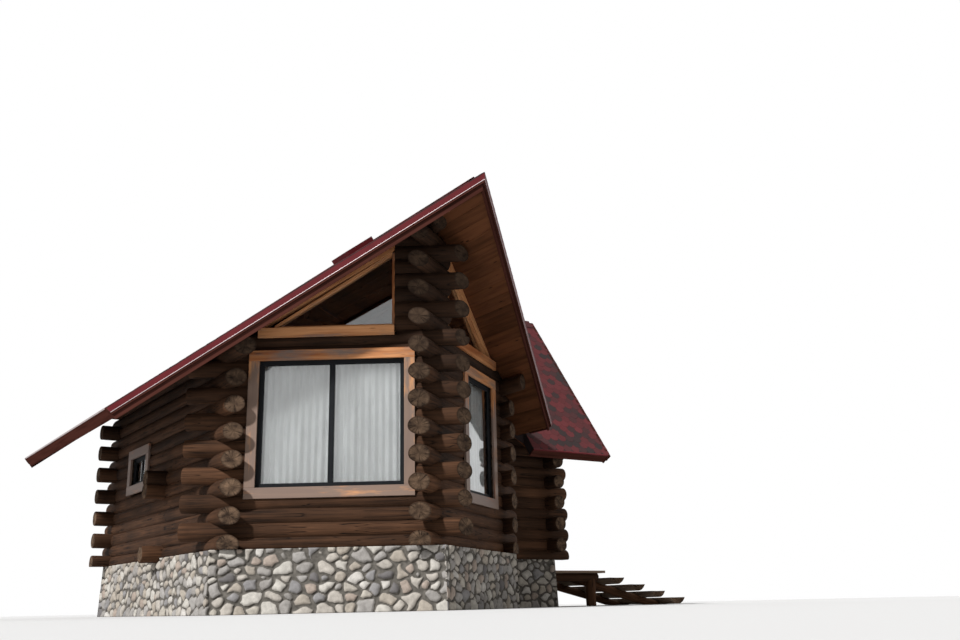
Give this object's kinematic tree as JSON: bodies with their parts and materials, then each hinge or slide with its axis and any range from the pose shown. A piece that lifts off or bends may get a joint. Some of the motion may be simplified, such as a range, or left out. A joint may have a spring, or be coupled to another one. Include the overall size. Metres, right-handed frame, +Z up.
{
  "type": "log cabin",
  "caption": "Log cabin with a pointed glazed front under a swept gable roof, a steep side wing with steps, and a fieldstone plinth.",
  "frame": {"origin": "on the ground under the corner where the two front walls meet", "axes": "+Z up, +Y back along the main ridge, +X to the right, towards the wing and the steps"},
  "size_m": [13.2739, 9.7009, 6.4436],
  "materials": {
    "logs": "weathered round logs",
    "steel": "satin",
    "cloth": "woven",
    "pine": "planed and varnished",
    "dark_wood": "stained",
    "deck": "weathered",
    "floor": "planed",
    "glass": "clear",
    "roof_cover": "grained bitumen shingles",
    "red_metal": "satin",
    "masonry": "rough fieldstone in mortar",
    "frame_grey": "painted"
  },
  "bodies": {
    "root": {"back_wall_logs_even": "logs", "back_wall_logs_odd": "logs", "curtain_rails": "steel", "curtains_left": "cloth", "curtains_right": "cloth", "door": "pine", "door_casing": "pine", "door_frame": "pine", "eave_fascias": "dark_wood", "entrance_steps": "deck", "floor_boards": "floor", "gable_glass": "glass", "gable_sills": "pine", "landing": "deck", "landing_supports": "deck", "left_side_logs_even": "logs", "left_side_logs_odd": "logs", "main_roof_left": "roof_cover", "main_roof_right": "roof_cover", "prow_left_logs_even": "logs", "prow_left_logs_odd": "logs", "prow_right_logs_even": "logs", "prow_right_logs_odd": "logs", "rake_fascias": "dark_wood", "rake_flashings": "red_metal", "raking_beams": "pine", "ridge_caps": "roof_cover", "ridge_logs": "logs", "right_side_logs_even": "logs", "right_side_logs_odd": "logs", "roof_window_frame": "red_metal", "roof_window_glass": "glass", "step_stringers": "deck", "stone_plinth": "masonry", "window_casings": "pine", "window_frames": "frame_grey", "window_glass": "glass", "wing_end_logs_even": "logs", "wing_end_logs_odd": "logs", "wing_front_logs_even": "logs", "wing_front_logs_odd": "logs", "wing_rear_logs_even": "logs", "wing_rear_logs_odd": "logs", "wing_roof_front": "roof_cover", "wing_roof_rear": "roof_cover"}
  },
  "joints": []
}
